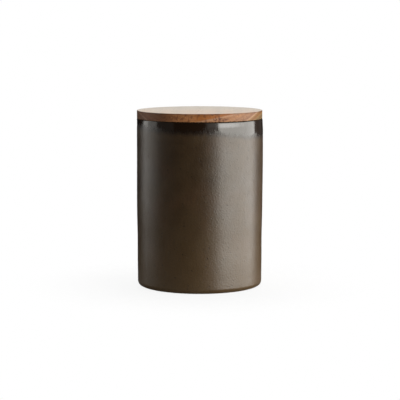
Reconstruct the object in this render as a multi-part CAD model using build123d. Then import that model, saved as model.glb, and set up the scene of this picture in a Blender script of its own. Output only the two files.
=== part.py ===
from build123d import *
import os

# A stoneware jar with a turned wooden lid, for olives and other wet or dry stores.
#
# The jar is a straight-sided pot of about one litre. Its wall bows out a little between a rounded
# foot and a rounded rim, and it stands on a ring turned into its underside. The lid is one round of
# board, turned to a flat disc that rests on the rim and a plug below it that drops into the mouth.
# A silicone ring with two fins sits in a groove round the plug and wipes the inside of the mouth.
#
# Sizes are in millimetres. The Z axis is the jar's own axis, and z = 0 is the table it stands on.
# Every outline is half of a section, written as (radius, height), and is turned about the Z axis.

# The pot's outside
jar_height = 143.5  # table to the top of the rim
rim_radius = 53.8
base_radius = 53.15  # where the wall runs into the foot's rounding
wall_bow = 0.36  # how far the middle of the wall stands out from a straight line
rim_outer_round = 1.0
rim_inner_round = 1.2

# The pot's inside
mouth_wall = 5.0  # wall thickness at the mouth
mouth_depth = 16.0  # parallel stretch of the mouth, where the seal runs
base_wall = 5.6  # wall thickness at the floor
floor_thickness = 5.5
floor_round = 9.0  # hollow corner between the floor and the wall

# The foot
foot_round = 4.4  # outside corner between the wall and the table
foot_width = 4.5  # the ring that stands on the table, with its inner rounding
foot_height = 2.4  # depth of the recess inside the ring
foot_inner_round = 0.8
recess_round = 1.1  # hollow corner at the top of the recess

# The lid
lid_inset = 0.4  # the disc's edge lies this far inside the rim's outside
lid_thickness = 6.8  # the disc, which is what shows above the rim
lid_top_round = 0.35
lid_under_round = 0.3
plug_gap = 1.8  # between the plug and the mouth, filled by the seal's fins
plug_neck_round = 0.6  # hollow corner where the plug meets the disc
plug_lip = 2.7  # wood left below the groove
plug_lip_round = 1.2

# The groove round the plug
groove_drop = 2.4  # from the disc's underside to the groove
groove_height = 4.4
groove_depth = 2.4

# The seal
seal_groove_clearance = 0.05  # running clearance on the bottom of the groove
seal_end_clearance = 0.1  # above and below the ring, inside the groove
seal_mouth_clearance = 0.1  # running clearance to the mouth
seal_band = 1.9  # thickness of the ring behind its fins
fin_count = 2
fin_root = 1.1  # a fin's thickness where it leaves the band
fin_tip = 0.7
fin_tip_round = 0.2
fin_rise = 0.7  # the mouth bends each fin up by this much

# Radii and heights that follow from the sizes above
mouth_radius = rim_radius - mouth_wall
floor_radius = base_radius - base_wall
floor_level = foot_height + floor_thickness
foot_outer_radius = base_radius - foot_round
foot_inner_radius = foot_outer_radius - foot_width
lid_radius = rim_radius - lid_inset
lid_top = jar_height + lid_thickness
plug_radius = mouth_radius - plug_gap
groove_radius = plug_radius - groove_depth
groove_top = jar_height - groove_drop
groove_bottom = groove_top - groove_height
plug_bottom = groove_bottom - plug_lip


def round_corner(outline, corner, radius):
    """The outline with one corner rounded, the one nearest to the place given."""
    place = Vector(*corner)
    nearest = min(outline.vertices(), key=lambda vertex: (Vector(*vertex) - place).length)
    return fillet(nearest, radius)


def turned(outline):
    """The solid that an outline sweeps in one turn about the Z axis."""
    return revolve(Plane.XZ * outline, Axis.Z)


def make_jar_body():
    """The pot: a bowed outer wall, a parallel mouth, a tapered inside and a turned foot ring."""
    middle_height = (jar_height + foot_round) / 2
    middle_radius = (rim_radius + base_radius) / 2 + wall_bow
    wall_foot = (base_radius, foot_round)
    rim_outer_corner = (rim_radius, jar_height)
    rim_inner_corner = (mouth_radius, jar_height)
    floor_corner = (floor_radius, floor_level)
    recess_corner = (foot_inner_radius, foot_height)
    foot_inner_corner = (foot_inner_radius, 0)
    foot_outer_corner = (foot_outer_radius, 0)
    outline = make_face(
        [
            ThreePointArc(wall_foot, (middle_radius, middle_height), rim_outer_corner),
            RadiusArc(foot_outer_corner, wall_foot, -foot_round),
            Polyline(
                rim_outer_corner,
                rim_inner_corner,
                (mouth_radius, jar_height - mouth_depth),
                floor_corner,
                (0, floor_level),
                (0, foot_height),
                recess_corner,
                foot_inner_corner,
                foot_outer_corner,
            ),
        ]
    )
    outline = round_corner(outline, rim_outer_corner, rim_outer_round)
    outline = round_corner(outline, rim_inner_corner, rim_inner_round)
    outline = round_corner(outline, floor_corner, floor_round)
    outline = round_corner(outline, recess_corner, recess_round)
    outline = round_corner(outline, foot_inner_corner, foot_inner_round)
    return turned(outline)


def make_wood_lid():
    """The lid: a disc and a plug turned from one board, with the seal's groove round the plug."""
    top_corner = (lid_radius, lid_top)
    under_corner = (lid_radius, jar_height)
    neck_corner = (plug_radius, jar_height)
    lip_corner = (plug_radius, plug_bottom)
    outline = Polygon(
        (0, lid_top),
        top_corner,
        under_corner,
        neck_corner,
        (plug_radius, groove_top),
        (groove_radius, groove_top),
        (groove_radius, groove_bottom),
        (plug_radius, groove_bottom),
        lip_corner,
        (0, plug_bottom),
        align=None,
    )
    outline = round_corner(outline, top_corner, lid_top_round)
    outline = round_corner(outline, under_corner, lid_under_round)
    outline = round_corner(outline, neck_corner, plug_neck_round)
    outline = round_corner(outline, lip_corner, plug_lip_round)
    return turned(outline)


def make_lid_seal():
    """The silicone ring: a flat band in the groove, with fins that reach out to the mouth."""
    band_inner = groove_radius + seal_groove_clearance
    band_outer = band_inner + seal_band
    band_middle = (band_inner + band_outer) / 2
    band_bottom = groove_bottom + seal_end_clearance
    band_top = groove_top - seal_end_clearance
    fin_pitch = (band_top - band_bottom) / fin_count
    tip_radius = mouth_radius - seal_mouth_clearance
    outline = Polygon(
        (band_inner, band_bottom),
        (band_outer, band_bottom),
        (band_outer, band_top),
        (band_inner, band_top),
        align=None,
    )
    tip_corners = []
    for number in range(fin_count):
        root_height = band_bottom + (number + 1 / 2) * fin_pitch
        tip_low = (tip_radius, root_height + fin_rise - fin_tip / 2)
        tip_high = (tip_radius, root_height + fin_rise + fin_tip / 2)
        outline += Polygon(
            (band_middle, root_height - fin_root / 2),
            (band_outer, root_height - fin_root / 2),
            tip_low,
            tip_high,
            (band_outer, root_height + fin_root / 2),
            (band_middle, root_height + fin_root / 2),
            align=None,
        )
        tip_corners += [tip_low, tip_high]
    for corner in tip_corners:
        outline = round_corner(outline, corner, fin_tip_round)
    return turned(outline)


pieces = {
    "jar_body": make_jar_body(),
    "wood_lid": make_wood_lid(),
    "lid_seal": make_lid_seal(),
}
os.makedirs("parts", exist_ok=True)
for node, solid in pieces.items():
    export_step(solid, f"parts/{node}.step")
    print(node, round(solid.volume / 1000, 1), "cubic centimetres")
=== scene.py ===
# %% [markdown]
# # A glazed stoneware jar with a turned wooden lid
#
# This lesson dresses a jar whose construction is already settled. The imported frame holds three
# solids at their real size: a pot, a wooden lid with a plug under it, and a silicone ring round
# the plug. Here each of them gets the surface that a potter, a turner and a moulder would leave.
# The frame is loaded first.

import bpy
import numpy as np
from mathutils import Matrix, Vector


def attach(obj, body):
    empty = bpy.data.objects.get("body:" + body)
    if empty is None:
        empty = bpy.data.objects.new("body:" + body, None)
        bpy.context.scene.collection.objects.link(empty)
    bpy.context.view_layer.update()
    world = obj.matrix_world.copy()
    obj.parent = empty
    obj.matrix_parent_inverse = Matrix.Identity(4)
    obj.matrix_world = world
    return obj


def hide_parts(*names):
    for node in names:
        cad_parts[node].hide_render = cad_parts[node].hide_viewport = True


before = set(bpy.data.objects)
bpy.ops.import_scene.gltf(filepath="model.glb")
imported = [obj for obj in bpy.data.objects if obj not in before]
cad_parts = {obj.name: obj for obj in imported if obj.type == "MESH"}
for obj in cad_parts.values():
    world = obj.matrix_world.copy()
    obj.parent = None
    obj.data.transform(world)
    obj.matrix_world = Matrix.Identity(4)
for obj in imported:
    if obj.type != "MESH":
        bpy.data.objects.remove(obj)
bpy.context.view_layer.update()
MM = 0.001

# %% [markdown]
# ## The camera
#
# The photograph looks down on the jar by a few degrees from about a metre and a half. A long lens
# at that distance keeps the sides almost parallel. A camera can be placed by eye, turned until the
# picture looks right, but then each later difference might be the camera's fault. So the numbers
# come from fitting the ellipses of the lid and the foot: how round they look tells how steeply the
# camera looks down at each height, and their widths tell how far away it stands.

# %% Place the camera
PHOTO_WIDTH = 400
SENSOR_WIDTH = 36.0
FOCAL_PIXELS = 1640.0
CAMERA_DISTANCE = 1396.7 * MM
CAMERA_HEIGHT = 238.5 * MM
CAMERA_SIDE_STEP = 0.34 * MM
AIM_HEIGHT = 73.05 * MM

camera_data = bpy.data.cameras.new("camera")
camera_data.sensor_width = SENSOR_WIDTH
camera_data.lens = FOCAL_PIXELS * SENSOR_WIDTH / PHOTO_WIDTH
camera_data.dof.use_dof = False
camera = bpy.data.objects.new("camera", camera_data)
camera.location = (CAMERA_SIDE_STEP, -CAMERA_DISTANCE, CAMERA_HEIGHT)
aim = Vector((CAMERA_SIDE_STEP, 0, AIM_HEIGHT))
camera.rotation_euler = (camera.location - aim).to_track_quat("Z", "Y").to_euler()
bpy.context.scene.collection.objects.link(camera)
bpy.context.scene.camera = camera
print("lens", round(camera_data.lens, 1), "mm")

# %% [markdown]
# ## Surfaces from numbers
#
# Every piece of this jar was spun: the pot on a wheel, the lid on a lathe, the ring in a round
# mould. So each is half a section carried round the Z axis. A Screw modifier could spin a drawn
# section too, but every turn would be the same, and a hand-made pot isn't. So the surface is a grid
# with the section down one side and the angle along the other, and each point can be moved and
# marked on its own.
#
# The section is a chain of straight stretches and round corners. Each leaves its last point to the
# one that follows, so no point is there twice. The normals of the section come from how it runs.

# %% Helpers that draw a section


def stretch(start, end, steps):
    """A straight stretch without its end: start + t * (end - start), t from 0 in equal steps."""
    share = np.arange(steps)[:, None] / steps
    return np.array(start) + share * (np.array(end) - np.array(start))


def corner(centre, radius, start_degrees, end_degrees, steps):
    """A round corner without its end: centre + radius * (cos a, sin a), a in equal steps."""
    angle = np.radians(start_degrees + (end_degrees - start_degrees) * np.arange(steps) / steps)
    return np.array(centre) + radius * np.column_stack([np.cos(angle), np.sin(angle)])


def outward(section, closed=False):
    """Unit normals of a section: its direction of travel, turned a quarter turn to the right."""
    if closed:
        along = np.roll(section, -1, axis=0) - np.roll(section, 1, axis=0)
    else:
        along = np.gradient(section, axis=0)
    across = np.column_stack([along[:, 1], -along[:, 0]])
    return across / np.linalg.norm(across, axis=1, keepdims=True)


# %% [markdown]
# The spin works on whole arrays, and the mesh takes them as they are. A point on the axis would be
# repeated for every angle, so there the rows meet in one vertex and the faces are triangles.

# %% A helper that spins a section
TURNS = 384
angle = 2 * np.pi * np.arange(TURNS) / TURNS


def spin(name, section, closed=False, relief=None, marks=None):
    """A mesh object: each point (radius, height) goes to (radius cos a, radius sin a, height).

    relief, one row for each point and one column for each angle, moves the surface along its
    normal. marks is a dictionary of values in the same shape, kept as attributes on the points.
    """
    radius = np.repeat(section[:, :1], TURNS, axis=1)
    height = np.repeat(section[:, 1:], TURNS, axis=1)
    if relief is not None:
        normal = outward(section, closed)
        radius = radius + relief * normal[:, :1]
        height = height + relief * normal[:, 1:]
    points = np.stack([radius * np.cos(angle), radius * np.sin(angle), height], axis=2)
    number = np.arange(points.shape[0] * TURNS).reshape(-1, TURNS)
    beside = np.roll(number, -1, axis=1)
    if closed:
        low, high = number, np.roll(number, -1, axis=0)
        low_beside, high_beside = beside, np.roll(beside, -1, axis=0)
    else:
        number[0], beside[0] = number[0, 0], number[0, 0]
        number[-1], beside[-1] = number[-1, 0], number[-1, 0]
        low, high, low_beside, high_beside = number[:-1], number[1:], beside[:-1], beside[1:]
    quads = np.stack([low, low_beside, high_beside, high], axis=2).reshape(-1, 4)
    used, renumbered = np.unique(quads, return_inverse=True)
    quads = renumbered.reshape(-1, 4)
    if closed:
        faces = quads.tolist()
    else:
        first, between, last = quads[:TURNS, 1:], quads[TURNS:-TURNS], quads[-TURNS:, :3]
        faces = first.tolist() + between.tolist() + last.tolist()
    mesh = bpy.data.meshes.new(name)
    mesh.from_pydata(points.reshape(-1, 3)[used].tolist(), [], faces)
    for mark, values in (marks or {}).items():
        attribute = mesh.attributes.new(mark, "FLOAT", "POINT")
        attribute.data.foreach_set("value", values.reshape(-1)[used].astype(np.float32))
    mesh.polygons.foreach_set("use_smooth", np.ones(len(faces), dtype=bool))
    mesh.update()
    piece = bpy.data.objects.new(name, mesh)
    bpy.context.scene.collection.objects.link(piece)
    print(name, len(used), "points", len(faces), "faces")
    return piece


print("angles in a turn", TURNS)

# %% [markdown]
# ## The pot
#
# The pot is one wall of clay. Its outside bows out by a third of a millimetre between a rounded
# foot and a rounded rim. The potter dipped it twice: the olive-brown satin glaze covers the
# outside, and a glossy near-black one lines the inside and runs over the rim. That second coat
# ends in an uneven line some ten millimetres down, and the olive-brown wall below it lies a tenth
# of a millimetre further in. The foot ring is wiped bare, and the glaze stops just above it in a
# small bead. A cylinder with bevelled edges would give the outline, but its points would lie in the
# wrong places, so the section is drawn stretch by stretch, and finely stepped where the coat ends.

# %% Draw the pot's section
rim_radius = 53.8 * MM
rim_height = 143.5 * MM
base_radius = 53.15 * MM
wall_bow = 0.36 * MM
rim_outer_round = 1.0 * MM
rim_inner_round = 1.2 * MM
mouth_radius = 48.8 * MM
mouth_depth = 16.0 * MM
floor_radius = 47.64 * MM
floor_height = 7.9 * MM
floor_round = 9.0 * MM
foot_round = 4.4 * MM
foot_width = 4.5 * MM
foot_outer_radius = base_radius - foot_round
foot_inner_radius = foot_outer_radius - foot_width
foot_inner_round = 0.8 * MM
recess_height = 2.4 * MM
recess_round = 1.1 * MM
fine_zone = (124.0 * MM, 141.0 * MM)


def bowed_wall(low, high, steps):
    """A stretch of the outer wall: a straight line plus bow * (1 - s * s), s from -1 to 1."""
    height = low + (high - low) * np.arange(steps) / steps
    share = (height - foot_round) / (rim_height - foot_round)
    straight = base_radius + share * (rim_radius - base_radius)
    return np.column_stack([straight + wall_bow * (1 - (2 * share - 1) ** 2), height])


recess_edge = foot_inner_radius - recess_round
foot_edge = foot_inner_radius + foot_inner_round
land_edge = mouth_radius + rim_inner_round
rim_edge = rim_radius - rim_outer_round
floor_edge = floor_radius - floor_round
mouth_end = rim_height - mouth_depth
recess = [
    stretch((0, recess_height), (recess_edge, recess_height), 12),
    corner((recess_edge, recess_height - recess_round), recess_round, 90, 0, 5),
]
recess_side = recess_height - recess_round
foot = [
    stretch((foot_inner_radius, recess_side), (foot_inner_radius, foot_inner_round), 2),
    corner((foot_edge, foot_inner_round), foot_inner_round, 180, 270, 5),
    stretch((foot_edge, 0), (foot_outer_radius, 0), 6),
]
wall = [
    corner((foot_outer_radius, foot_round), foot_round, -90, 0, 26),
    bowed_wall(foot_round, fine_zone[0], 40),
    bowed_wall(fine_zone[0], fine_zone[1], 40),
    bowed_wall(fine_zone[1], rim_height - rim_outer_round, 3),
]
rim_and_inside = [
    corner((rim_edge, rim_height - rim_outer_round), rim_outer_round, 0, 90, 8),
    stretch((rim_edge, rim_height), (land_edge, rim_height), 4),
    corner((land_edge, rim_height - rim_inner_round), rim_inner_round, 90, 180, 8),
    stretch((mouth_radius, rim_height - rim_inner_round), (mouth_radius, mouth_end), 6),
    stretch((mouth_radius, mouth_end), (floor_radius, floor_height + floor_round), 34),
    corner((floor_edge, floor_height + floor_round), floor_round, 0, -90, 14),
    stretch((floor_edge, floor_height), (0, floor_height), 12),
    [(0, floor_height)],
]
recess_end = sum(len(part) for part in recess)
foot_start = recess_end + sum(len(part) for part in foot)
wall_end = foot_start + sum(len(part) for part in wall)
pot_section = np.vstack(recess + foot + wall + rim_and_inside)
print("points in the pot's section", len(pot_section))

# %% [markdown]
# Nothing made by hand is even. A wander round the pot is a sum of a few waves with phases drawn at
# random from a fixed seed, so that it meets itself after one turn and comes out the same each time.
# A change from one value to another is eased, so that no line shows where it starts or ends.

# %% Helpers for what a hand leaves uneven


def waves(counts, size, seed):
    """A wavy value for every angle: the sum of size * cos(n * angle + p), p drawn at random."""
    draw = np.random.default_rng(seed)
    phase = draw.uniform(0, 2 * np.pi, len(counts))
    height = np.array(size) * draw.uniform(0.5, 1.0, len(counts))
    return (height[:, None] * np.cos(np.outer(counts, angle) + phase[:, None])).sum(axis=0)


def ease(value, low, high):
    """0 below low, 1 above high, and t * t * (3 - 2 t) between them, which starts and ends level."""
    share = np.clip((value - low) / (high - low), 0, 1)
    return share * share * (3 - 2 * share)


def from_azimuth(degrees):
    """How many degrees each angle lies from one direction, from -180 to 180."""
    return np.degrees(np.angle(np.exp(1j * (angle - np.radians(degrees)))))


point_number = np.arange(len(pot_section))[:, None]
height = pot_section[:, 1:]
outside = (point_number >= foot_start) & (point_number < wall_end)
print("points on the outer wall", outside.sum())

# %% [markdown]
# The rim coat is thicker than the glaze under it, and it hangs more than twice as low on the right
# as on the left, because the pot was dipped askew. In front it stops a little higher, and at the
# front right it gathered into a glassy pool close under the rim. The mark called coat rises evenly
# from 0 to 1 over the ten millimetres round its edge, so that the material can break the edge up by
# adding noise to it. The mark called pool is 1 in the pool, and the mark called bare is 1 on the
# wiped clay. All three are kept on the points of the mesh.

# %% Mark the glazes
coat_depth = 9.0 * MM
coat_tilt = 4.2 * MM
coat_rise = 1.7 * MM
rise_degrees, rise_span_degrees = -78, 22
coat_drip = 0.12 * MM
coat_fade = 5.0 * MM
drip_counts = np.arange(7, 46, 3)
depth = coat_depth + coat_tilt * np.cos(angle)
depth = depth - coat_rise * np.exp(-((from_azimuth(rise_degrees) / rise_span_degrees) ** 2))
depth = depth + waves(drip_counts, [coat_drip] * len(drip_counts), seed=11)
coat = np.clip(0.5 + (height - rim_height + depth) / (2 * coat_fade), 0, 1)
coat = np.where(outside, coat, point_number >= wall_end)

pool_low, pool_high = 6.5 * MM, 3.5 * MM
pool_degrees, pool_span_degrees = -67, 22
pool = ease(height, rim_height - pool_low, rim_height - pool_high)
pool = pool * np.exp(-((from_azimuth(pool_degrees) / pool_span_degrees) ** 2))
pool = np.where(outside, pool, 0)

bare_height = 0.75 * MM
bare_ripple = 0.05 * MM
bare_fade = 0.1 * MM
bare_line = bare_height + waves([3, 5, 8, 13, 21], [bare_ripple] * 5, seed=12)
bare = 1 - ease(height, bare_line - bare_fade, bare_line + bare_fade)
bare = np.where(outside, bare, (point_number >= recess_end) & (point_number < foot_start))
print("the rim coat hangs", np.round([depth.min() / MM, depth.max() / MM], 1), "mm down")

# %% [markdown]
# A thrown wall is never a perfect curve. The potter's fingers left shallow rings, and this wall
# draws in a little under the rim and again low down, and leans a third of a millimetre to the right
# at its shoulder. Then come the thickness of the coat and the bead above the foot. All this could
# be a bump in the material, but a bump doesn't change the outline, so the points are moved.

# %% Shape the wall
coat_thickness = 0.10 * MM
bead_thickness = 0.12 * MM
bead_width = 0.5 * MM
turning_depth = 0.02 * MM
turning_pitch = 7.5 * MM
turning_end = 6 * MM
rim_draw, rim_draw_span = -0.27 * MM, 13 * MM
waist_draw, waist_height, waist_span = -0.25 * MM, 42 * MM, 14 * MM
lean, lean_height, lean_span = 0.3 * MM, 116 * MM, 34 * MM
full_relief_height = 3 * foot_round
step_low, step_high = 0.2, 0.8

wall_share = ease(height, bare_height, full_relief_height)
bead = np.exp(-(((height - bare_line - bead_width) / bead_width) ** 2))
askew = waves(counts=[1, 2], size=[0.8, 0.5], seed=13)
turning = np.cos(2 * np.pi * height / turning_pitch + askew)
thrown = rim_draw * ease(height, rim_height - rim_draw_span, rim_height)
thrown = thrown + waist_draw * np.exp(-(((height - waist_height) / waist_span) ** 2))
thrown = thrown + lean * np.exp(-(((height - lean_height) / lean_span) ** 2)) * np.cos(angle)
below_coat = ease(coat, step_low, step_high) - 1
relief = below_coat * coat_thickness * wall_share + bead_thickness * bead
relief = relief + wall_share * turning_depth * turning * ease(rim_height - height, 0, turning_end)
relief = np.where(outside, relief + wall_share * thrown, 0)
rim_side = (point_number >= wall_end) & (pot_section[:, :1] > land_edge)
relief = np.where(rim_side, rim_draw * outward(pot_section)[:, :1], relief)
print("the relief goes from", np.round([relief.min() / MM, relief.max() / MM], 2), "mm")

# %% [markdown]
# Now the section is spun, with its relief and its marks. The finished pot takes the place of the
# plain solid and rides on the body that the solid belongs to. The lid and the seal do the same
# below, so the jar still opens when its joints move.

# %% Make the pot
pot = spin("pot", pot_section, relief=relief, marks={"coat": coat, "bare": bare, "pool": pool})
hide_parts("jar_body")
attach(pot, "jar")

# %% [markdown]
# ## The lid
#
# The lid is one round of board. On the lathe it became a flat disc with barely broken edges, and
# a plug with a groove for the seal. Its section is drawn from the middle of the underside, round
# the plug and the disc, to the middle of the top. A Bevel modifier would round every edge alike,
# but a turner breaks some and rounds others, so each corner has a radius of its own. They are small,
# and they matter: each catches a thin line of light. The fibres run front to back, so the edge shows
# their cut ends in front and behind, and their sides at left and right. The mark called end_grain
# is how squarely the surface cuts them, the front-to-back part of its normal. The mark called edge
# is 1 on the turned edges and 0 on the flat faces.

# %% Make the lid
lid_inset, lid_thickness = 0.4 * MM, 6.8 * MM
plug_gap, plug_lip = 1.8 * MM, 2.7 * MM
groove_drop, groove_height, groove_depth = 2.4 * MM, 4.4 * MM, 2.4 * MM
lid_radius = rim_radius - lid_inset
lid_top = rim_height + lid_thickness
lid_top_round = 0.35 * MM
lid_under_round = 0.3 * MM
plug_radius = mouth_radius - plug_gap
groove_top = rim_height - groove_drop
groove_bottom = groove_top - groove_height
groove_radius = plug_radius - groove_depth
plug_bottom = groove_bottom - plug_lip
plug_lip_round = 1.2 * MM
plug_neck_round = 0.6 * MM
broken_edge = 0.15 * MM

lip_edge, lip_height = plug_radius - plug_lip_round, plug_bottom + plug_lip_round
groove_edge = plug_radius - broken_edge
groove_low, groove_high = groove_bottom - broken_edge, groove_top + broken_edge
neck_edge, neck_height = plug_radius + plug_neck_round, rim_height - plug_neck_round
under_edge, under_height = lid_radius - lid_under_round, rim_height + lid_under_round
top_edge, top_height = lid_radius - lid_top_round, lid_top - lid_top_round
lid_section = np.vstack(
    [
        stretch((0, plug_bottom), (lip_edge, plug_bottom), 24),
        corner((lip_edge, lip_height), plug_lip_round, -90, 0, 8),
        stretch((plug_radius, lip_height), (plug_radius, groove_low), 3),
        corner((groove_edge, groove_low), broken_edge, 0, 90, 3),
        stretch((groove_edge, groove_bottom), (groove_radius, groove_bottom), 3),
        stretch((groove_radius, groove_bottom), (groove_radius, groove_top), 4),
        stretch((groove_radius, groove_top), (groove_edge, groove_top), 3),
        corner((groove_edge, groove_high), broken_edge, -90, 0, 3),
        stretch((plug_radius, groove_high), (plug_radius, neck_height), 3),
        corner((neck_edge, neck_height), plug_neck_round, 180, 90, 5),
        stretch((neck_edge, rim_height), (under_edge, rim_height), 8),
        corner((under_edge, under_height), lid_under_round, -90, 0, 6),
        stretch((lid_radius, under_height), (lid_radius, top_height), 10),
        corner((top_edge, top_height), lid_top_round, 0, 90, 8),
        stretch((top_edge, lid_top), (0, lid_top), 24),
        [(0, lid_top)],
    ]
)
edge_share = np.abs(outward(lid_section)[:, :1])
marks = {"end_grain": edge_share * np.abs(np.sin(angle)), "edge": edge_share * np.ones(TURNS)}
lid = spin("lid", lid_section, marks=marks)
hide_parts("wood_lid")
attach(lid, "lid")

# %% [markdown]
# ## The seal
#
# The silicone ring is a band with two soft fins. The mouth of the pot bends the fins up, and that
# is the shape they have here. The section is a closed loop, so the spun surface is a ring with no
# poles. Each fin thins towards a rounded tip, and meets the band in a hollow, as moulded rubber
# does. Corners like those on the lid could be worked out for it, but soft rubber has no exact radii,
# so the section is drawn as a chain of points and then rounded by a short running average.

# %% Make the seal
seal_groove_clearance, seal_clearance = 0.05 * MM, 0.1 * MM
seal_band = 1.9 * MM
band_inner = groove_radius + seal_groove_clearance
band_outer = band_inner + seal_band
band_bottom = groove_bottom + seal_clearance
band_top = groove_top - seal_clearance
fin_tip_radius = mouth_radius - seal_clearance
fin_root = 1.1 * MM
fin_tip = 0.7 * MM
fin_rise = 0.7 * MM
fin_count = 2
side_steps, rounding_passes = 10, 2

fin_pitch = (band_top - band_bottom) / fin_count
seal_corners = [(band_inner, band_bottom), (band_outer, band_bottom)]
for number in range(fin_count):
    root = band_bottom + (number + 0.5) * fin_pitch
    tip = root + fin_rise
    seal_corners += [
        (band_outer, root - fin_root / 2),
        (fin_tip_radius, tip - fin_tip / 2),
        (fin_tip_radius, tip + fin_tip / 2),
        (band_outer, root + fin_root / 2),
    ]
seal_corners += [(band_outer, band_top), (band_inner, band_top)]
seal_corners = np.array(seal_corners)
following = np.roll(seal_corners, -1, axis=0)
sides = [stretch(start, end, side_steps) for start, end in zip(seal_corners, following)]
seal_section = np.vstack(sides)
for _ in range(rounding_passes):
    before, after = np.roll(seal_section, 1, axis=0), np.roll(seal_section, -1, axis=0)
    seal_section = (before + 2 * seal_section + after) / 4
seal = spin("seal", seal_section, closed=True)
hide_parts("lid_seal")
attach(seal, "seal")

# %% [markdown]
# ## Building materials from nodes
#
# A material is a small network. It could be a picture wrapped round the piece, but a picture blurs
# up close and shows its seam, while a network is worked out anew at every point. The helper below
# adds one node at a time: every socket gets a value or another node's output. Colours are written
# as they look on screen, from 0 to 255, and turned into the linear light that the renderer works in.

# %% A helper that wires nodes


def paint(red, green, blue):
    """A colour in linear light: ((c + 0.055) / 1.055) to the power 2.4, for c from 0 to 1."""
    share = np.array([red, green, blue]) / 255
    linear = np.where(share > 0.04045, ((share + 0.055) / 1.055) ** 2.4, share / 12.92)
    return (*linear.tolist(), 1.0)


class Wiring:
    """A node tree with short ways to add the nodes that this jar needs."""

    def __init__(self, tree):
        self.tree = tree

    def add(self, kind, sockets=(), output=0, **settings):
        """A node with its sockets set or linked. Gives back one of its outputs."""
        node = self.tree.nodes.new("ShaderNode" + kind)
        for setting, value in settings.items():
            setattr(node, setting, value)
        for socket, value in dict(sockets).items():
            if isinstance(value, bpy.types.NodeSocket):
                self.tree.links.new(value, node.inputs[socket])
            else:
                node.inputs[socket].default_value = value
        return node.outputs[output]

    def maths(self, operation, first, second=0.0):
        """One sum of two values."""
        return self.add("Math", {0: first, 1: second}, operation=operation)

    def remap(self, value, low, high, new_low=0.0, new_high=1.0):
        """The value eased from one range to another, and held at its ends."""
        sockets = {"Value": value, "From Min": low, "From Max": high}
        sockets |= {"To Min": new_low, "To Max": new_high}
        return self.add("MapRange", sockets, interpolation_type="SMOOTHSTEP")

    def blend(self, share, first, second):
        """A colour between two colours."""
        return self.add("Mix", {0: share, 6: first, 7: second}, output=2, data_type="RGBA")

    def between(self, share, first, second):
        """A value between two values."""
        return self.add("Mix", {0: share, 2: first, 3: second}, output=0, data_type="FLOAT")

    def noise(self, vector, size, detail=2.0, roughness=0.5):
        """Cloudy noise whose blots are about one size across, in metres."""
        scale = self.maths("DIVIDE", 1.0, size)
        sockets = {"Vector": vector, "Scale": scale, "Detail": detail, "Roughness": roughness}
        return self.add("TexNoise", sockets, output="Fac")

    def stretched(self, vector, scale):
        """The place with each of its directions scaled, so that noise read there is drawn out."""
        return self.add("VectorMath", {0: vector, 1: scale}, operation="MULTIPLY")

    def length(self, vector):
        """How far a place is from the origin."""
        return self.add("VectorMath", {0: vector}, output="Value", operation="LENGTH")


print("a grey of 128 is", round(paint(128, 128, 128)[0], 3), "in linear light")

# %% [markdown]
# ## Effects that several finishes share
#
# Some effects turn up on more than one surface. They could be wired again in each material, but a
# node group is built once and then placed with its own values, as a tool is used on many pieces.

# %% Helpers that make and place a group


def new_group(name, inputs, outputs):
    """An empty node group with named sockets. Gives back the group, its wiring and its inputs."""
    group = bpy.data.node_groups.new(name, "ShaderNodeTree")
    for socket, value in inputs.items():
        kind = "NodeSocketFloat" if isinstance(value, float) else "NodeSocketVector"
        made = group.interface.new_socket(socket, in_out="INPUT", socket_type=kind)
        if isinstance(value, float):
            made.default_value = value
    for socket in outputs:
        group.interface.new_socket(socket, in_out="OUTPUT", socket_type="NodeSocketFloat")
    wiring = Wiring(group)
    entry = group.nodes.new("NodeGroupInput")
    return group, wiring, entry.outputs


def close_group(group, results):
    """Links the results to the group's outputs."""
    leaving = group.nodes.new("NodeGroupOutput")
    for socket, value in results.items():
        group.links.new(value, leaving.inputs[socket])


def place_group(wiring, group, sockets):
    """Puts a group into a material with its own values, and gives back its outputs."""
    node = wiring.tree.nodes.new("ShaderNodeGroup")
    node.node_tree = group
    for socket, value in sockets.items():
        if isinstance(value, bpy.types.NodeSocket):
            wiring.tree.links.new(value, node.inputs[socket])
        else:
            node.inputs[socket].default_value = value
    return node.outputs


# %% [markdown]
# Three effects are shared. The mottle is how fired glaze and clay vary: wide clouds, streaks that ran
# down the wall, and a grain near a millimetre across. The pits are pinholes and specks in glaze, and
# pores in wood. The handling is the faint film that hands and cloths leave, which changes how sharp
# a highlight is and nothing else.

# %% Build the shared groups
streak_stretch, stroke_squeeze = 0.22, 5.0
mottle, wiring, given = new_group(
    "mottle",
    {"Place": None, "Cloud Size": 9 * MM, "Streak Size": 3 * MM, "Grain Size": 1 * MM},
    ["Clouds", "Streaks", "Grain"],
)
clouds = wiring.noise(given["Place"], given["Cloud Size"], detail=3.0, roughness=0.55)
hanging = wiring.stretched(given["Place"], (1.0, 1.0, streak_stretch))
streaks = wiring.noise(hanging, given["Streak Size"], detail=3.0, roughness=0.6)
grain = wiring.noise(given["Place"], given["Grain Size"], roughness=0.6)
close_group(mottle, {"Clouds": clouds, "Streaks": streaks, "Grain": grain})

pit_inputs = {"Place": None, "Spacing": 2 * MM, "Share": 0.3}
pits, wiring, given = new_group("pits", pit_inputs, ["Mask"])
spacing = wiring.maths("DIVIDE", 1.0, given["Spacing"])
cell = wiring.add("TexVoronoi", {"Vector": given["Place"], "Scale": spacing}, output="Distance")
luck = wiring.noise(given["Place"], given["Spacing"], detail=1.0)
reach = wiring.maths("MULTIPLY", given["Share"], wiring.remap(luck, 0.35, 0.7))
from_middle = wiring.maths("DIVIDE", cell, wiring.maths("MAXIMUM", reach, 0.01))
close_group(pits, {"Mask": wiring.remap(from_middle, 1.0, 0.4)})

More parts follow.
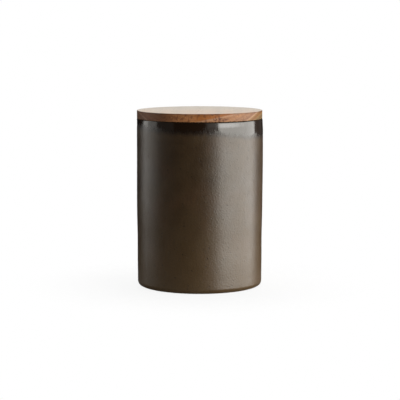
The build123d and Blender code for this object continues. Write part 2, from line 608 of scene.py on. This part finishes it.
handling, wiring, given = new_group("handling", {"Place": None, "Size": 30 * MM}, ["Film"])
film = wiring.noise(given["Place"], given["Size"], detail=4.0, roughness=0.6)
wiped = wiring.stretched(given["Place"], (1.0, 1.0, stroke_squeeze))
strokes = wiring.noise(wiped, given["Size"], detail=3.0, roughness=0.65)
close_group(handling, {"Film": wiring.maths("MULTIPLY", film, strokes)})
print("groups", [group.name for group in bpy.data.node_groups])

# %% [markdown]
# ## The glazes
#
# The outer glaze is a satin olive-brown, saturated with iron: its colour wanders a little between
# olive and rust, lightens towards the foot, and is flecked with iron specks and pinholes. The rim
# coat and the lining are nearly black and melted smooth, and they shine more.
# Where the two meet they run into each other in short drips. The gloss ends at the drips, but the
# dark of the coat stains the glaze for some millimetres below, so the two have shares of their own.
# Two materials could be given to different faces, but then the line between them would follow the
# mesh. So one material holds both glazes, the marks on the mesh say roughly where each lies, and
# noise breaks the line up. The lining is the same coat, but it lies thinner there and its brown
# shows, inside the radius where the mouth begins.

# %% Find the edge of the rim coat


def new_material(name):
    """An empty material: its wiring, its Principled shader and the place on the piece."""
    material = bpy.data.materials.new(name)
    material.use_nodes = True
    wiring = Wiring(material.node_tree)
    shader = material.node_tree.nodes["Principled BSDF"]
    place = wiring.add("TexCoord", output="Object")
    return material, wiring, shader, place


stoneware, wiring, shader, place = new_material("stoneware")
drip_size, drip_stretch = 1.5 * MM, 0.2

sizes = {"Place": place, "Cloud Size": 16 * MM, "Streak Size": 1.8 * MM, "Grain Size": 1.3 * MM}
glaze = place_group(wiring, mottle, sizes)
pinholes = place_group(wiring, pits, {"Place": place, "Spacing": 3.4 * MM, "Share": 0.26})["Mask"]
specks = place_group(wiring, pits, {"Place": place, "Spacing": 1.7 * MM, "Share": 0.3})["Mask"]
film = place_group(wiring, handling, {"Place": place, "Size": 35 * MM})["Film"]
coat_mark = wiring.add("Attribute", output="Fac", attribute_name="coat")
bare_mark = wiring.add("Attribute", output="Fac", attribute_name="bare")

drips = wiring.noise(wiring.stretched(place, (1.0, 1.0, drip_stretch)), drip_size)
drips = wiring.maths("MULTIPLY", wiring.maths("SUBTRACT", drips, 0.5), 0.7)
crumbs = wiring.maths("MULTIPLY", wiring.maths("SUBTRACT", glaze["Grain"], 0.5), 0.7)
broken_mark = wiring.maths("ADD", wiring.maths("ADD", coat_mark, drips), crumbs)
gloss_share = wiring.remap(broken_mark, 0.28, 0.72)
stained_mark = wiring.maths("ADD", coat_mark, wiring.maths("MULTIPLY", drips, 0.45))
stain_share = wiring.remap(stained_mark, -0.05, 0.5)
print("rim coat ready")

# %% [markdown]
# A glaze has no single colour. These are laid one over the other, from the clouds to the specks, and
# each share is a mask that the step before has made. The wall lightens from the shoulder down, and
# the stain and the bare clay come last.

# %% Mix the glaze colours
olive_brown = paint(70, 51, 26)
deep_brown = paint(60, 42, 21)
rust_brown = paint(76, 51, 29)
lower_wall_tone = paint(94, 72, 42)
rim_black = paint(33, 20, 10)
lining_brown = paint(60, 42, 26)
bare_clay = paint(130, 100, 76)
bare_clay_dark = paint(94, 69, 51)
lightening_top = 110 * MM

wall_colour = wiring.blend(wiring.remap(glaze["Clouds"], 0.3, 0.7), deep_brown, olive_brown)
rusting = wiring.remap(wiring.noise(place, 20 * MM), 0.45, 0.75, 0.0, 0.6)
wall_colour = wiring.blend(rusting, wall_colour, rust_brown)
streaked = wiring.remap(glaze["Streaks"], 0.5, 0.75, 0.0, 0.3)
wall_colour = wiring.blend(streaked, wall_colour, deep_brown)
wall_height = wiring.add("SeparateXYZ", {0: place}, output="Z")
# the wall is made lighter from the shoulder down towards the foot
lightening = wiring.remap(wall_height, lightening_top, 0.0, 0.0, 0.6)
wall_colour = wiring.blend(lightening, wall_colour, lower_wall_tone)
wall_colour = wiring.blend(wiring.maths("MULTIPLY", specks, 0.5), wall_colour, rim_black)
wall_colour = wiring.blend(wiring.maths("MULTIPLY", pinholes, 0.7), wall_colour, rim_black)
from_axis = wiring.length(wiring.stretched(place, (1.0, 1.0, 0.0)))
lining_share = wiring.remap(from_axis, land_edge, mouth_radius - rim_inner_round)
coat_colour = wiring.blend(lining_share, rim_black, lining_brown)
glaze_colour = wiring.blend(stain_share, wall_colour, coat_colour)
clay_colour = wiring.blend(wiring.remap(glaze["Grain"], 0.35, 0.7), bare_clay_dark, bare_clay)
pot_colour = wiring.blend(bare_mark, glaze_colour, clay_colour)
wiring.tree.links.new(pot_colour, shader.inputs["Base Color"])
print("glaze colours mixed")

# %% [markdown]
# The satin glaze scatters its highlight and the rim coat keeps it sharp, so roughness follows the
# gloss. Its height carries six things: the ripple of glaze that flowed, the streaks that ran down
# the wall, a fine tooth that makes the satin glaze sparkle faintly, the pinholes, the specks, which
# stand a little proud, and the grain of the bare clay. They are heights in millimetres that feed one
# Bump node, since all are finer than the mesh. Where two are given, the first is for the satin wall
# and the second for the glossy coat. The pool is a clear coat over the rest, with ragged sides.

# %% Finish the stoneware
wall_roughness = wiring.remap(glaze["Clouds"], 0.3, 0.7, 0.33, 0.38)
streak_roughness = wiring.remap(glaze["Streaks"], 0.3, 0.8, -0.02, 0.03)
wall_roughness = wiring.maths("ADD", wall_roughness, streak_roughness)
coat_roughness = wiring.remap(film, 0.1, 0.4, 0.11, 0.18)
roughness = wiring.between(gloss_share, wall_roughness, coat_roughness)
wiring.tree.links.new(wiring.between(bare_mark, roughness, 0.85), shader.inputs["Roughness"])

ripple_relief, clay_relief = 0.022, 0.08
streak_relief, tooth_relief = (0.034, 0.016), (0.125, 0.003)
pit_relief, speck_relief = (-0.06, 0.0), (0.05, 0.0)


def on_glazes(pattern, relief):
    """The pattern times its relief, which is one value on the wall and another on the coat."""
    return wiring.maths("MULTIPLY", pattern, wiring.between(gloss_share, *relief))


ripple_height = wiring.maths("MULTIPLY", wiring.noise(place, 4 * MM, detail=1.0), ripple_relief)
streak_height = on_glazes(glaze["Streaks"], streak_relief)
tooth_height = on_glazes(glaze["Grain"], tooth_relief)
pit_height = on_glazes(pinholes, pit_relief)
speck_height = on_glazes(specks, speck_relief)
clay_grain = wiring.maths("MULTIPLY", glaze["Grain"], bare_mark)
clay_height = wiring.maths("MULTIPLY", clay_grain, clay_relief)
surface = wiring.maths("ADD", ripple_height, streak_height)
surface = wiring.maths("ADD", surface, wiring.maths("ADD", tooth_height, pit_height))
surface = wiring.maths("ADD", surface, wiring.maths("ADD", speck_height, clay_height))
bump = wiring.add("Bump", {"Height": surface, "Strength": 1.0, "Distance": MM})
wiring.tree.links.new(bump, shader.inputs["Normal"])
shader.inputs["IOR"].default_value = 1.8
shader.inputs["Specular Tint"].default_value = (1.0, 0.98, 0.91, 1.0)

pool_mark = wiring.add("Attribute", output="Fac", attribute_name="pool")
ragged = wiring.maths("ADD", pool_mark, wiring.maths("MULTIPLY", drips, 1.5))
pooled = wiring.maths("MULTIPLY", wiring.remap(ragged, 0.0, 1.0), pool_mark)
wiring.tree.links.new(pooled, shader.inputs["Coat Weight"])
shader.inputs["Coat Roughness"].default_value = 0.12
shader.inputs["Coat IOR"].default_value = 1.6
pot.data.materials.append(stoneware)
print("stoneware ready")

# %% [markdown]
# ## The wood
#
# Wood is a solid pattern, and the lid cuts through it. The grain could be drawn apart on the top
# and on the edge, but then the two wouldn't meet at the arris, so it is worked out in space. The
# tree's growth rings are cylinders about a pith line that ran front to back, some sixty millimetres
# above this board, so on the front edge they show as arcs that rise towards both ends, and on the
# top as long lines. All rings follow from one value, the distance from the pith, and noise makes
# that wander as a tree does. Rays run straight out from the pith and show as dark flecks. Fibres
# and pores run along the pith, so they are strokes on the top and dots on the front edge.

# %% Find the rings
wood, wiring, shader, place = new_material("lid_wood")
pith_x = -1.8 * MM
pith_z = lid_top + 62.0 * MM
ring_width = 3.6 * MM
ring_wander = 2.4 * MM

spot = wiring.tree.nodes.new("ShaderNodeSeparateXYZ")
wiring.tree.links.new(place, spot.inputs[0])
aside = wiring.maths("SUBTRACT", spot.outputs["X"], pith_x)
below = wiring.maths("SUBTRACT", pith_z, spot.outputs["Z"])
straight = wiring.length(wiring.add("CombineXYZ", {"X": aside, "Z": below}))


def along_grain(squeeze):
    """The place squeezed from front to back, so that noise read there is long along the fibres."""
    return wiring.stretched(place, (1.0, squeeze, 1.0))


wander = wiring.maths("SUBTRACT", wiring.noise(along_grain(0.3), 30 * MM), 0.5)
wander = wiring.maths("MULTIPLY", wander, ring_wander)
from_pith = wiring.maths("ADD", straight, wander)
rings = wiring.maths("DIVIDE", from_pith, ring_width)
ring_share = wiring.maths("FRACT", rings)
ring_end = wiring.remap(ring_share, 1.0, 0.94)
late_wood = wiring.maths("MULTIPLY", wiring.remap(ring_share, 0.35, 0.92), ring_end)
sockets = {"W": rings, "Scale": 0.6, "Detail": 1.0}
stripe = wiring.add("TexNoise", sockets, output="Fac", noise_dimensions="1D")
print("the pith lies", round((pith_z - lid_top) / MM), "mm above the board")

# %% [markdown]
# The other marks are noise. Where it is read from a place that is squeezed from front to back, each
# blot is drawn out along the fibres: forty times for the fibres themselves, some seventeen times for
# the pores and ten times for the blotches of the burrs. The rays are read from the angle round the
# pith, and are drawn out along the radius, so that each one points at it. Two marks come from the
# mesh: where the fibres are cut across, and where the turned edge is.

# %% Find the rays, the fibres and the pores
ray_radius = 66.0 * MM
ray_squeeze_along, ray_squeeze_out = 0.07, 0.3
round_pith = wiring.maths("MULTIPLY", wiring.maths("ARCTAN2", aside, below), ray_radius)
ray_along = wiring.maths("MULTIPLY", spot.outputs["Y"], ray_squeeze_along)
ray_out = wiring.maths("MULTIPLY", from_pith, ray_squeeze_out)
ray_place = wiring.add("CombineXYZ", {"X": round_pith, "Y": ray_along, "Z": ray_out})
rays = wiring.noise(ray_place, 1.1 * MM, detail=1.0)

fibre = wiring.noise(along_grain(0.025), 0.7 * MM, detail=3.0, roughness=0.65)
pore_sockets = {"Place": along_grain(0.06), "Spacing": 0.9 * MM, "Share": 0.5}
pores = place_group(wiring, pits, pore_sockets)["Mask"]
pores = wiring.maths("MULTIPLY", pores, wiring.remap(ring_share, 0.8, 0.15, 0.35, 1.0))
blotches = wiring.noise(along_grain(0.1), 1.6 * MM, roughness=0.6)
film = place_group(wiring, handling, {"Place": place, "Size": 40 * MM})["Film"]
end_grain_mark = wiring.add("Attribute", output="Fac", attribute_name="end_grain")
edge_mark = wiring.add("Attribute", output="Fac", attribute_name="edge")
print("wood pattern ready")

# %% [markdown]
# The flat faces were sanded fine, so they are pale and even, and hands keep them polished. Towards
# the back of the board they are painted a little greyer, a painted sheen of the light behind the jar.
# The turned edge is mostly end grain, which drank the oil: it is darker, and every mark shows more
# there. Its colours are laid on one after the other. Tan wood lies below a slanting seam and warm
# orange heartwood above it, with a pale band between. A pale ring parts them from the golden sapwood
# at the right end, which has an amber ring of its own and greys towards the bark. The left end is
# painted a darker reddish brown, a painted shade on the side away from the bright lamps, and only the
# pale ring shows through.
# They could be painted on a flat picture, but here each ring is a range of one distance, so it
# turns up on the front edge and on the back edge alike.

# %% Mix the wood colours
flat_tan = paint(194, 157, 114)
flat_grey = paint(182, 153, 116)
# the colour of a painted sheen, which greys the flat faces towards the back for the reflection of the
# light behind the jar
back_sheen_grey = paint(174, 156, 128)
heart_light = paint(188, 124, 72)
heart_warm = paint(170, 100, 34)
outer_tan = paint(176, 122, 78)
outer_red = paint(150, 106, 72)
# the colour of a painted shade on the left end of the edge, which faces away from the bright lamps
left_shade_red = paint(118, 69, 33)
pale_ring = paint(206, 164, 132)
sap_golden = paint(150, 113, 62)
amber = paint(150, 84, 26)
bark_side = paint(96, 80, 52)
warm_start, warm_end = -5 * MM, 3 * MM
seam_height, seam_slope = 144.1 * MM, 0.2
seam_low, seam_high = -0.2 * MM, 0.3 * MM
band_drop, band_width, band_core = 0.8 * MM, 1.0 * MM, 0.2 * MM
red_start, red_end = 71.0 * MM, 77.0 * MM
back_sheen_start, back_sheen_end = -30.0 * MM, 40.0 * MM
pale_ring_radius, amber_radius, bark_radius = 80.15 * MM, 82.3 * MM, 83.2 * MM
pale_ring_width, amber_width = 0.7 * MM, 1.0 * MM
sap_fade, bark_fade = 0.6 * MM, 1.2 * MM
left_shade_start, left_shade_end = -15 * MM, -31 * MM


def ring_band(radius, width, strength):
    """A band of one growth ring: strength at that distance from the pith, 0 one width away."""
    away = wiring.maths("ABSOLUTE", wiring.maths("SUBTRACT", from_pith, radius))
    return wiring.remap(away, width, 0.0, 0.0, strength)


warm_share = wiring.remap(aside, warm_start, warm_end)
heart = wiring.blend(warm_share, heart_light, heart_warm)
outer = wiring.blend(wiring.remap(from_pith, red_start, red_end), outer_tan, outer_red)
seam = wiring.maths("ADD", wiring.maths("MULTIPLY", spot.outputs["X"], seam_slope), seam_height)
above_seam = wiring.maths("SUBTRACT", spot.outputs["Z"], wiring.maths("ADD", seam, wander))
oiled = wiring.blend(wiring.remap(above_seam, seam_low, seam_high), outer, heart)
near_seam = wiring.maths("ABSOLUTE", wiring.maths("ADD", above_seam, band_drop))
oiled = wiring.blend(wiring.remap(near_seam, band_width, band_core, 0.0, 0.3), oiled, pale_ring)
sap_share = wiring.remap(from_pith, pale_ring_radius, pale_ring_radius + sap_fade)
bark_share = wiring.remap(from_pith, bark_radius, bark_radius + bark_fade, 0.0, 0.6)
# painted shade: the edge is darkened towards its left end, away from the bright lamps, and the pale
# ring shows more faintly there
left_shade_share = wiring.remap(aside, left_shade_start, left_shade_end)
pale_strength = wiring.between(left_shade_share, 0.7, 0.25)
oiled = wiring.blend(sap_share, oiled, sap_golden)
oiled = wiring.blend(ring_band(amber_radius, amber_width, 0.6), oiled, amber)
oiled = wiring.blend(bark_share, oiled, bark_side)
# the painted shade is laid over the edge colours here
oiled = wiring.blend(wiring.maths("MULTIPLY", left_shade_share, 0.88), oiled, left_shade_red)
oiled = wiring.blend(ring_band(pale_ring_radius, pale_ring_width, pale_strength), oiled, pale_ring)
sanded = wiring.blend(wiring.remap(stripe, 0.35, 0.7), flat_tan, flat_grey)
# painted sheen: the flat faces are painted greyer towards the back, standing in for the reflection of
# the light behind the jar
back_sheen_share = wiring.remap(spot.outputs["Y"], back_sheen_start, back_sheen_end)
sanded = wiring.blend(back_sheen_share, sanded, back_sheen_grey)
colour = wiring.blend(edge_mark, sanded, oiled)
print("wood colours mixed")

# %% [markdown]
# The fine marks come last: growth rings, fibres, burrs, rays and pores. They are laid over the
# colours at a third of their strength on the flat faces and in full on the edge. The burrs and the
# rays only show where the fibres are cut across, so the mark called end_grain weakens them elsewhere.
# The arris is darker all round, where oil and dirt gather, and two burrs, which are clusters of dark
# flecks, sit in the tan wood.

# %% Lay the marks over the wood
wood_dark = paint(76, 40, 20)
burr_brown = paint(82, 33, 7)
ray_brown = paint(96, 46, 16)
pore_brown = paint(50, 27, 16)
arris_start, arris_end = lid_top - 1.6 * MM, lid_top - 0.3 * MM
ray_start, ray_end = 30 * MM, 15 * MM
right_burr = (17.5 * MM, 145.3 * MM, 6 * MM, 1.5 * MM, 1.0)
left_burr = (-20 * MM, 146.6 * MM, 8.5 * MM, 2.2 * MM, 0.55)
flat_marking = 0.32

marking = wiring.between(edge_mark, flat_marking, 1.0)
stripes = wiring.remap(stripe, 0.4, 0.7, 0.0, 0.2)
late_wood = wiring.maths("MULTIPLY", late_wood, 0.25)
fibre_share = wiring.remap(fibre, 0.45, 0.75, 0.0, 0.35)
for share in (stripes, late_wood, fibre_share):
    colour = wiring.blend(wiring.maths("MULTIPLY", share, marking), colour, wood_dark)
flecks = wiring.maths("MULTIPLY", wiring.remap(blotches, 0.45, 0.55), end_grain_mark)
for burr_x, burr_z, half_width, half_height, strength in (right_burr, left_burr):
    from_burr = wiring.add("VectorMath", {0: place, 1: (burr_x, 0, burr_z)}, operation="SUBTRACT")
    from_burr = wiring.length(wiring.stretched(from_burr, (1 / half_width, 0, 1 / half_height)))
    burr = wiring.maths("MULTIPLY", wiring.remap(from_burr, 1.2, 0.7, 0.0, strength), flecks)
    colour = wiring.blend(burr, colour, burr_brown)
ray_strength = wiring.remap(aside, ray_start, ray_end, 0.3, 0.65)
ray_strength = wiring.maths("MULTIPLY", ray_strength, end_grain_mark)
ray_share = wiring.maths("MULTIPLY", wiring.remap(rays, 0.55, 0.68), ray_strength)
colour = wiring.blend(ray_share, colour, ray_brown)
arris = wiring.remap(spot.outputs["Z"], arris_start, arris_end, 0.0, 0.45)
colour = wiring.blend(wiring.maths("MULTIPLY", arris, edge_mark), colour, wood_dark)
pore_share = wiring.maths("MULTIPLY", wiring.maths("MULTIPLY", pores, 0.7), marking)
wiring.tree.links.new(wiring.blend(pore_share, colour, pore_brown), shader.inputs["Base Color"])
print("marks laid over the wood")

# %% [markdown]
# Oil leaves wood satin, and the cut ends of the fibres on the edge scatter light more. Where hands
# touch the top they polish it, but only a little: a wide range of roughness would show as patches
# with hard rims in so flat a face, so the film moves it by a few hundredths. The pores are hollows
# and the fibres low ridges, both far finer than the mesh, so they are left to a bump.

# %% Finish the wood
polished, handled = 0.285, 0.335
edge_roughness, pore_roughness = 0.25, 0.15
pore_relief, fibre_relief = -0.04, 0.008

roughness = wiring.remap(film, 0.1, 0.4, polished, handled)
roughness = wiring.maths("ADD", roughness, wiring.maths("MULTIPLY", edge_mark, edge_roughness))
roughness = wiring.maths("ADD", roughness, wiring.maths("MULTIPLY", pores, pore_roughness))
wiring.tree.links.new(roughness, shader.inputs["Roughness"])
pore_height = wiring.maths("MULTIPLY", pores, pore_relief)
surface = wiring.maths("ADD", pore_height, wiring.maths("MULTIPLY", fibre, fibre_relief))
bump = wiring.add("Bump", {"Height": surface, "Strength": 1.0, "Distance": MM})
wiring.tree.links.new(bump, shader.inputs["Normal"])
shader.inputs["IOR"].default_value = 1.5
shader.inputs["Specular Tint"].default_value = (1.0, 0.95, 0.9, 1.0)
lid.data.materials.append(wood)
print("wood ready")

# %% [markdown]
# ## The silicone
#
# Food-grade silicone is milky: light goes in a little way and comes out softened. A plain white
# would look like plaster, so a small amount of subsurface scattering is added, with the same reach
# for each colour. It also holds dust and a film of oil, so its gloss varies.

# %% Make the silicone
silicone, wiring, shader, place = new_material("silicone")
film = place_group(wiring, handling, {"Place": place, "Size": 12 * MM})["Film"]
colour = wiring.blend(wiring.remap(film, 0.1, 0.4), paint(226, 224, 216), paint(206, 202, 190))
wiring.tree.links.new(colour, shader.inputs["Base Color"])
wiring.tree.links.new(wiring.remap(film, 0.1, 0.4, 0.32, 0.5), shader.inputs["Roughness"])
tooth = wiring.noise(place, 0.6 * MM)
bump = wiring.add("Bump", {"Height": tooth, "Strength": 0.3, "Distance": 0.02 * MM})
wiring.tree.links.new(bump, shader.inputs["Normal"])
shader.inputs["IOR"].default_value = 1.41
shader.inputs["Subsurface Weight"].default_value = 0.3
shader.inputs["Subsurface Scale"].default_value = MM
shader.inputs["Subsurface Radius"].default_value = (1.0, 1.0, 1.0)
seal.data.materials.append(silicone)
print("materials", [material.name for material in bpy.data.materials])

# %% [markdown]
# ## The studio
#
# Dark glazed pots show the room more than they show themselves, so the light is built as a
# photographer would: large soft boxes to the right, dimmer panels to the left, a lamp high behind
# for the top of the lid, and dark cloth on the camera's side, which keeps the front of the glaze
# dark. A mirror-smooth wall seen at angle t reflects what lies at 2 t, and that places the boxes:
# the bright ones span 33 to 115 degrees right of the camera and 83 to 122 degrees left of it, and
# faint ones beside them soften where the highlights end. The right boxes are in two parts. The
# upper parts light the jar but don't show in it, or the lid would mirror them from the left. The
# plain Standard view shows every colour at the brightness that the light gives it. The sizes of the
# stage are in metres.

# %% Hang the lamps
bpy.context.scene.view_settings.view_transform = "Standard"
LAMP_DISTANCE = 0.9


def soft_box(name, azimuths, heights, brightness, elevation=0, mirrored=True):
    """A lamp that faces the jar between two azimuths, in degrees, and two heights, in metres.

    Its width is 2 * distance * tan(span / 2) and its power pi * area * brightness. A lamp that isn't
    mirrored lights the jar without showing in it.
    """
    turn, rise = np.radians(sum(azimuths) / 2), np.radians(elevation)
    half_span = np.radians((azimuths[1] - azimuths[0]) / 2)
    towards = Vector((np.cos(rise) * np.sin(turn), -np.cos(rise) * np.cos(turn), np.sin(rise)))
    lamp = bpy.data.lights.new(name, "AREA")
    lamp.shape = "RECTANGLE"
    lamp.size, lamp.size_y = 2 * LAMP_DISTANCE * np.tan(half_span), heights[1] - heights[0]
    lamp.energy = np.pi * lamp.size * lamp.size_y * brightness
    box = bpy.data.objects.new(name, lamp)
    box.location = Vector((0, 0, sum(heights) / 2)) + LAMP_DISTANCE * towards
    box.rotation_euler = towards.to_track_quat("Z", "Y").to_euler()
    box.visible_camera = False
    box.visible_glossy = mirrored
    bpy.context.scene.collection.objects.link(box)
    print(name, "width", round(lamp.size, 2), "power", round(lamp.energy, 2))


mirrored_heights, upper_heights = (-0.175, 0.34), (0.34, 0.745)
side_heights, left_heights, back_heights = (-0.195, 0.755), (-0.07, 0.71), (-0.26, 0.54)
right_brightness = 3.62
for name, azimuths in {"right_box": (33, 88), "right_side": (88, 115)}.items():
    soft_box(name, azimuths, mirrored_heights, right_brightness)
    soft_box(f"{name}_top", azimuths, upper_heights, right_brightness, mirrored=False)
soft_box("right_front", (12, 33), side_heights, brightness=0.3)
soft_box("right_back", (115, 151), side_heights, brightness=0.08)
soft_box("left_panel", (-122, -107), left_heights, brightness=1.5)
soft_box("left_front", (-107, -83), left_heights, brightness=0.72)
soft_box("left_fill", (-81, -47), left_heights, brightness=0.06)
soft_box("back_lamp", (155, 205), back_heights, brightness=2.3, elevation=50)

# %% [markdown]
# The backdrop is white paper, so the world is white to the camera and in reflections, and only a
# low light otherwise. A real sheet of paper would do as well, but it would have to be lit by lamps
# of its own, which the glaze would then show. The world isn't sampled as a lamp, because that would
# look past the cloth that is hung next.

# %% Set the backdrop
ambient = 0.28
world = bpy.data.worlds.new("studio")
world.use_nodes = True
world.cycles.sampling_method = "NONE"
bpy.context.scene.world = world
wiring = Wiring(world.node_tree)
background = world.node_tree.nodes["Background"]
background.inputs["Color"].default_value = (1, 1, 1, 1)
light_path = wiring.tree.nodes.new("ShaderNodeLightPath").outputs
seen = wiring.maths("MAXIMUM", light_path["Is Camera Ray"], light_path["Is Glossy Ray"])
seen = wiring.maths("MAXIMUM", seen, light_path["Is Transmission Ray"])
wiring.tree.links.new(wiring.between(seen, ambient, 1.0), background.inputs["Strength"])
print("ambient light", ambient)

# %% [markdown]
# The cloth is a closed drum round the stage with one gap behind the jar, above the height of the
# table, which the lid's top mirrors. A black world would darken the glaze in the same way, but then
# the backdrop couldn't be white. The camera sees neither the cloth nor the lamps, and the cloth
# stops no light, only reflections.

# %% Hang the cloth


def sheet_of_points(name, points, closed=False):
    """A stage mesh from a grid of points, joined row to row, and round if closed."""
    rows, columns = points.shape[:2]
    number = np.arange(rows * columns).reshape(rows, columns)
    beside = np.roll(number, -1, axis=1)
    if not closed:
        number, beside = number[:, :-1], beside[:, :-1]
    quads = np.stack([number[:-1], beside[:-1], beside[1:], number[1:]], axis=2).reshape(-1, 4)
    mesh = bpy.data.meshes.new(name)
    mesh.from_pydata(points.reshape(-1, 3).tolist(), [], quads.tolist())
    mesh.polygons.foreach_set("use_smooth", np.ones(len(quads), dtype=bool))
    made = bpy.data.objects.new(name, mesh)
    bpy.context.scene.collection.objects.link(made)
    return made


cloth_radius, cloth_low, cloth_high = 1.3, -1.2, 1.6
gap_low, gap_start = 0.2, 168.0
cloth_steps = 145
turn_degrees = np.linspace(-180, 180, cloth_steps)
turn = np.radians(turn_degrees)
hub = np.zeros((len(turn), 2))
ring = cloth_radius * np.column_stack([np.sin(turn), -np.cos(turn)])
low_edge = np.full(len(turn), cloth_low)
high_edge = np.full(len(turn), cloth_high)
gap_edge = np.where(np.abs(turn_degrees) > gap_start, gap_low, cloth_high)
drum = [(hub, low_edge), (ring, low_edge), (ring, gap_edge)]
roof = [(ring, high_edge), (hub, high_edge)]
cloth_material, wiring, shader, place = new_material("dark_cloth")
shader.inputs["Base Color"].default_value = paint(18, 18, 18)
shader.inputs["Roughness"].default_value = 0.9
for name, rows in {"dark_cloth": drum, "dark_roof": roof}.items():
    cloth = sheet_of_points(name, np.stack([np.column_stack(row) for row in rows]))
    cloth.visible_camera = cloth.visible_diffuse = cloth.visible_shadow = False
    cloth.data.materials.append(cloth_material)
print("the gap in the cloth is", round(2 * (180 - gap_start)), "degrees wide")

# %% [markdown]
# The photograph's table is as white as its backdrop, but a jar without a floor would float. So the
# floor is a pale disc that is faint even in the middle and fades out into the white, and the jar
# stands on something and drops a soft shadow.

# %% Lay the floor
disc_radius, floor_fade_start, floor_share = 0.16, 0.06, 0.12
floor_middle, floor_rings, floor_turns = 0.5 * MM, 40, 96
radii = np.linspace(floor_middle, disc_radius, floor_rings)[:, None]
turn = np.radians(np.arange(floor_turns) * 360 / floor_turns)
disc = np.stack([radii * np.cos(turn), radii * np.sin(turn), 0 * radii * turn], axis=2)
floor = sheet_of_points("floor", disc, closed=True)
floor_material, wiring, shader, place = new_material("pale_floor")
shader.inputs["Base Color"].default_value = paint(246, 245, 243)
shader.inputs["Roughness"].default_value = 0.9
faded = wiring.remap(wiring.length(place), floor_fade_start, disc_radius, floor_share, 0.0)
wiring.tree.links.new(faded, shader.inputs["Alpha"])
floor.data.materials.append(floor_material)
print("stage ready")
